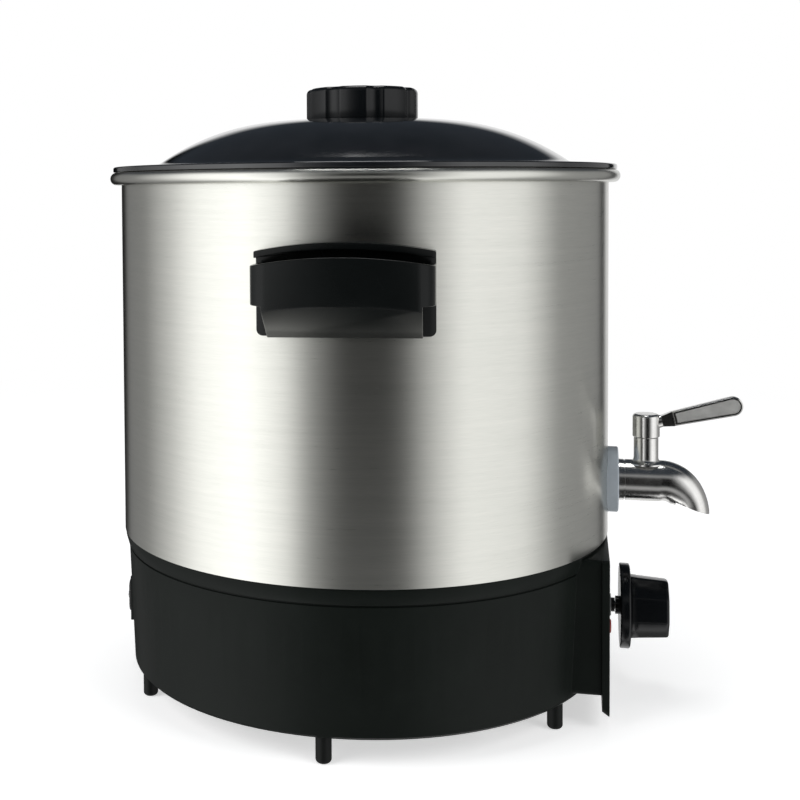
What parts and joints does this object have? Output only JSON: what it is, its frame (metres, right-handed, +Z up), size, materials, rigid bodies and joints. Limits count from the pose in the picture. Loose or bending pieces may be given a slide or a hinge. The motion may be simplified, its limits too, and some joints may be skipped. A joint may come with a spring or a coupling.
{
  "type": "electric all in one brewer",
  "caption": "Electric brewing boiler: brushed steel pot with domed lid, side handles, tap with lever, black base with thermostat knob and round feet.",
  "frame": {"origin": "middle of the object's bounding box in plan, on the surface that the feet stand on; the pot's axis is 42.6 mm from it towards -X", "axes": "+Z up along the pot's axis, +X towards the tap, the control panel and the knob"},
  "size_m": [0.4616, 0.436, 0.4401],
  "materials": {
    "brushed_steel": "brushed around the pot",
    "polished_steel": "polished stainless",
    "steel_hardware": "zinc plated or plain stainless",
    "lid_enamel": "glossy black enamel",
    "base_plastic": "satin black, lightly textured",
    "handle_plastic": "satin black moulding",
    "knob_plastic": "semi gloss black moulding",
    "foot_plastic": "satin black",
    "grey_silicone": "grey silicone",
    "silicone": "translucent white silicone",
    "red_lens": "clear red",
    "white_plastic": "moulded white",
    "inlet_plastic": "semi gloss black",
    "ceramic": "cream ceramic and moulding",
    "aluminium": "plain cast and rolled",
    "copper": "drawn copper",
    "brass": "plain brass",
    "brown_wire": "insulated wire",
    "blue_wire": "insulated wire",
    "green_wire": "insulated wire"
  },
  "bodies": {
    "brewer": {"pot": "brushed_steel", "false_bottom": "brushed_steel", "pot_studs": "steel_hardware", "stud_washers": "steel_hardware", "stud_nuts": "steel_hardware", "near_handle": "handle_plastic", "far_handle": "handle_plastic", "handle_screws": "steel_hardware", "handle_washers": "silicone", "base_housing": "base_plastic", "control_panel": "base_plastic", "panel_screws": "steel_hardware", "bottom_cover": "base_plastic", "cover_screws": "steel_hardware", "thermostat_body": "ceramic", "thermostat_nut": "steel_hardware", "indicator_lens": "red_lens", "indicator_body": "white_plastic", "heater_plate": "aluminium", "heating_element": "steel_hardware", "element_terminals": "steel_hardware", "thermal_cutout": "ceramic", "sensor_bulb": "copper", "bulb_clip": "aluminium", "capillary": "copper", "power_inlet": "inlet_plastic", "inlet_pins": "brass", "inlet_screws": "steel_hardware", "terminal_block": "white_plastic", "block_screws": "brass", "live_wires": "brown_wire", "neutral_wires": "blue_wire", "earth_wire": "green_wire", "tap_body": "polished_steel", "tap_outer_washer": "grey_silicone", "tap_inner_washer": "silicone", "tap_locknut": "steel_hardware", "foot_1": "foot_plastic", "foot_2": "foot_plastic", "foot_3": "foot_plastic", "foot_4": "foot_plastic", "foot_5": "foot_plastic", "foot_6": "foot_plastic"},
    "lid": {"lid_dome": "lid_enamel", "lid_knob": "knob_plastic", "lid_screw": "steel_hardware", "lid_washer": "silicone"},
    "knob": {"thermostat_knob": "knob_plastic", "thermostat_spindle": "steel_hardware"},
    "tap_lever": {"tap_plug": "polished_steel", "tap_cap": "polished_steel", "tap_lever": "polished_steel"}
  },
  "joints": [
    {"name": "lid_lift", "type": "slide", "parent": "brewer", "child": "lid", "axis": [0, 0, 1], "range_m": [0, 0.2]},
    {"name": "knob_turn", "type": "hinge", "parent": "brewer", "child": "knob", "pos_m": [0.1459, 0, 0.0603], "axis": [1, 0, 0], "range_deg": [-270, 0]},
    {"name": "tap_turn", "type": "hinge", "parent": "brewer", "child": "tap_lever", "pos_m": [0.1642, 0, 0.19], "axis": [0, 0, 1], "range_deg": [0, 90]}
  ]
}
